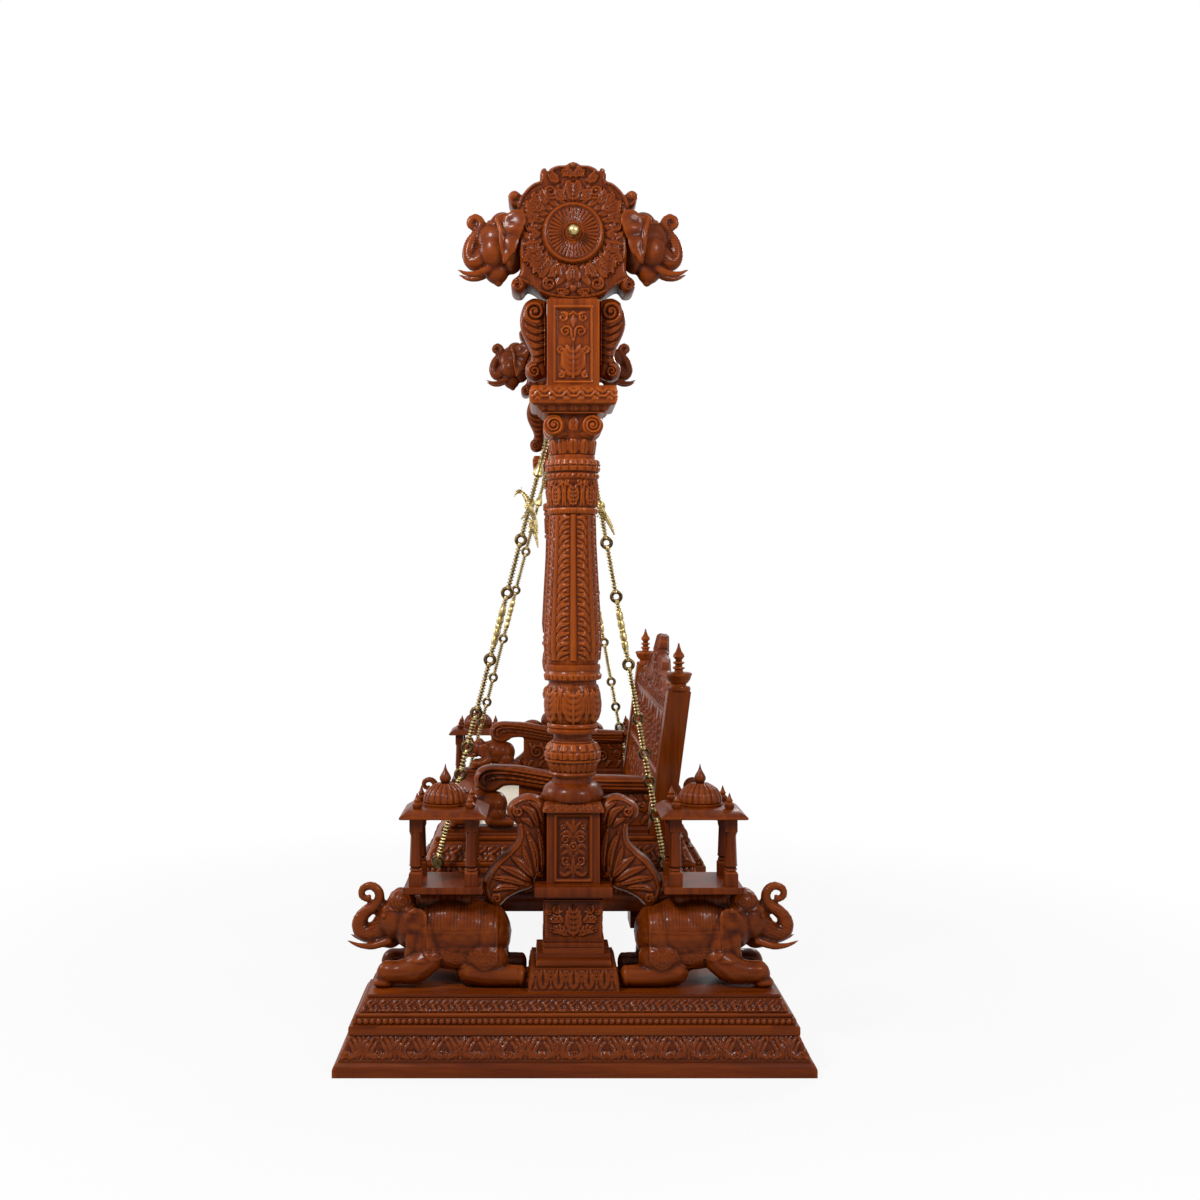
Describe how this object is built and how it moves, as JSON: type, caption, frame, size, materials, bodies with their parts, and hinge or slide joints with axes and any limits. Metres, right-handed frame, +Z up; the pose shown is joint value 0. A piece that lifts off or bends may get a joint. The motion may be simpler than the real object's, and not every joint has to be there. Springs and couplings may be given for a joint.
{
  "type": "jhoola swing",
  "caption": "Carved wooden indoor swing: an upholstered bench with arms and a pierced back, hung on metal chains from a beam between two carved end stands.",
  "frame": {"origin": "on the floor under the middle of the beam", "axes": "+X along the beam, -Y the side that a sitter faces, +Z up"},
  "size_m": [2.44, 1.2, 2.31],
  "materials": {
    "carved_teak": "lacquered carved teak, reddish brown, dark in the hollows",
    "polished_teak": "lacquered teak, reddish brown, satin gloss",
    "antique_brass": "aged brass, dark in the hollows",
    "blackened_iron": "blackened wrought iron",
    "cream_upholstery": "cream woven cotton cover"
  },
  "bodies": {
    "frame": {"plinth_right": "polished_teak", "plinth_top_right": "polished_teak", "pedestal_foot_right": "polished_teak", "pedestal_right": "polished_teak", "column_right": "polished_teak", "capital_right": "carved_teak", "upper_post_right": "polished_teak", "upper_brackets_right": "carved_teak", "pedestal_brackets_right": "carved_teak", "crest_right": "carved_teak", "crest_elephants_right": "carved_teak", "end_boss_right": "antique_brass", "plinth_left": "polished_teak", "plinth_top_left": "polished_teak", "pedestal_foot_left": "polished_teak", "pedestal_left": "polished_teak", "column_left": "polished_teak", "capital_left": "carved_teak", "upper_post_left": "polished_teak", "upper_brackets_left": "carved_teak", "pedestal_brackets_left": "carved_teak", "crest_left": "carved_teak", "crest_elephants_left": "carved_teak", "end_boss_left": "antique_brass", "elephant_front_right": "carved_teak", "howdah_front_right": "carved_teak", "howdah_roof_front_right": "carved_teak", "elephant_rear_right": "carved_teak", "howdah_rear_right": "carved_teak", "howdah_roof_rear_right": "carved_teak", "elephant_front_left": "carved_teak", "howdah_front_left": "carved_teak", "howdah_roof_front_left": "carved_teak", "elephant_rear_left": "carved_teak", "howdah_rear_left": "carved_teak", "howdah_roof_rear_left": "carved_teak", "beam": "polished_teak", "beam_hooks": "blackened_iron"},
    "hangers": {"hanger_rings": "antique_brass"},
    "chains_left": {"chain_front_left": "antique_brass", "chain_back_left": "antique_brass"},
    "chains_right": {"chain_front_right": "antique_brass", "chain_back_right": "antique_brass"},
    "seat": {"seat_rail_front": "polished_teak", "seat_rail_back": "polished_teak", "seat_rail_left": "polished_teak", "seat_rail_right": "polished_teak", "seat_deck": "polished_teak", "seat_feet": "polished_teak", "seat_cushion": "cream_upholstery", "arm_rest_left": "polished_teak", "arm_rest_right": "polished_teak", "arm_panel_left": "carved_teak", "arm_panel_right": "carved_teak", "arm_elephants": "carved_teak", "back_post_left": "polished_teak", "back_post_right": "polished_teak", "back_finials": "carved_teak", "back_panel": "carved_teak", "seat_pins": "antique_brass"}
  },
  "joints": [
    {"name": "swing", "type": "hinge", "parent": "frame", "child": "hangers", "pos_m": [0, 0, 1.877], "axis": [1, 0, 0], "range_deg": [-25, 25]},
    {"name": "sway", "type": "hinge", "parent": "hangers", "child": "chains_left", "pos_m": [-0.75, 0, 1.84405], "axis": [0, 1, 0], "range_deg": [-4, 4]},
    {"name": "sway_right_chains", "type": "hinge", "parent": "hangers", "child": "chains_right", "pos_m": [0.75, 0, 1.84405], "axis": [0, 1, 0], "range_deg": [-4, 4]},
    {"name": "seat_level", "type": "hinge", "parent": "chains_left", "child": "seat", "pos_m": [-0.75, 0, 0.442], "axis": [0, 1, 0], "range_deg": [-4, 4]}
  ],
  "couplings": [
    {"joint": "sway_right_chains", "follows": "sway", "ratio": 1},
    {"joint": "seat_level", "follows": "sway", "ratio": -1}
  ]
}
